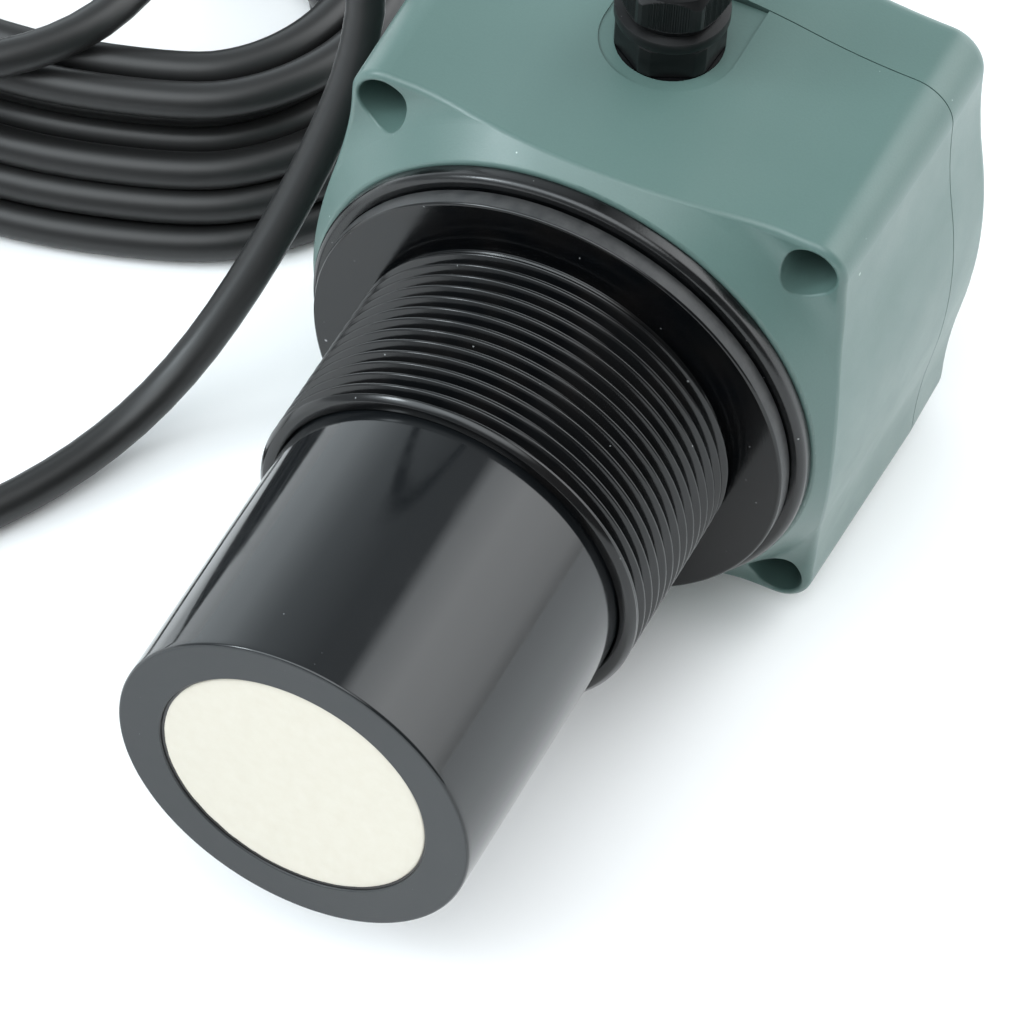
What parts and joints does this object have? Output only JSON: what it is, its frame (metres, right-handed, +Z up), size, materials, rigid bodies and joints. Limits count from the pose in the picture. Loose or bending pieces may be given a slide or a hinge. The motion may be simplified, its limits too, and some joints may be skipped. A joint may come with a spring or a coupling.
{
  "type": "ultrasonic level transmitter",
  "caption": "Ultrasonic level transmitter: square moulded housing, threaded flange sleeve, long glossy sensor barrel with a pale sounding face, side cable gland and coiled signal cable.",
  "frame": {"origin": "on the resting surface, under the middle of the instrument's box without its free cable", "axes": "-Y along the sensor axis towards the sounding face, +Z up through the cable gland, +X to the right seen from the sounding face's side"},
  "size_m": [0.2457, 0.2111, 0.1971],
  "materials": {
    "housing_plastic": "satin moulded",
    "black_plastic": "satin turned",
    "barrel_plastic": "glossy",
    "sounding_face": "matt cream",
    "black_rubber": "matt",
    "cable_jacket": "satin",
    "core_insulation": "satin, four colours",
    "tinned_metal": "tinned",
    "screw_steel": "stainless",
    "insert_brass": "plain",
    "casting_resin": "cast",
    "ceramic": "fired, silvered",
    "soft_cork": "matt",
    "circuit_board": "lacquered",
    "component_black": "moulded",
    "terminal_green": "moulded",
    "ferrite": "fired",
    "winding_copper": "enamelled",
    "nut_plastic": "moulded"
  },
  "bodies": {
    "root": {"housing": "housing_plastic", "rear_cover": "housing_plastic", "cover_gasket": "black_rubber", "threaded_body": "black_plastic", "flange_seal": "black_rubber", "sensor_barrel": "barrel_plastic", "sounding_disc": "sounding_face", "piezo_disc": "ceramic", "isolation_sleeve": "soft_cork", "backing_block": "casting_resin", "potting": "casting_resin", "transducer_leads": "core_insulation", "temperature_probe": "component_black", "body_lock_nut": "nut_plastic", "main_board": "circuit_board", "terminal_block": "terminal_green", "terminal_screws": "screw_steel", "transformer_core": "ferrite", "transformer_winding": "winding_copper", "capacitors": "component_black", "microcontroller": "component_black", "regulator": "component_black", "sensor_connector": "component_black", "gland_body": "nut_plastic", "gland_grip": "black_rubber", "gland_nut": "nut_plastic", "gland_gasket": "black_rubber", "gland_lock_nut": "nut_plastic", "cable_lead_in": "cable_jacket", "cable_cores": "core_insulation", "cable_run": "cable_jacket", "cable_coil": "cable_jacket", "cable_tail": "cable_jacket", "tail_cores": "core_insulation", "tail_ferrules": "tinned_metal", "cover_screw_1": "screw_steel", "cover_insert_1": "insert_brass", "board_screw_1": "screw_steel", "cover_screw_2": "screw_steel", "cover_insert_2": "insert_brass", "board_screw_2": "screw_steel", "cover_screw_3": "screw_steel", "cover_insert_3": "insert_brass", "board_screw_3": "screw_steel", "cover_screw_4": "screw_steel", "cover_insert_4": "insert_brass", "board_screw_4": "screw_steel"}
  },
  "joints": []
}
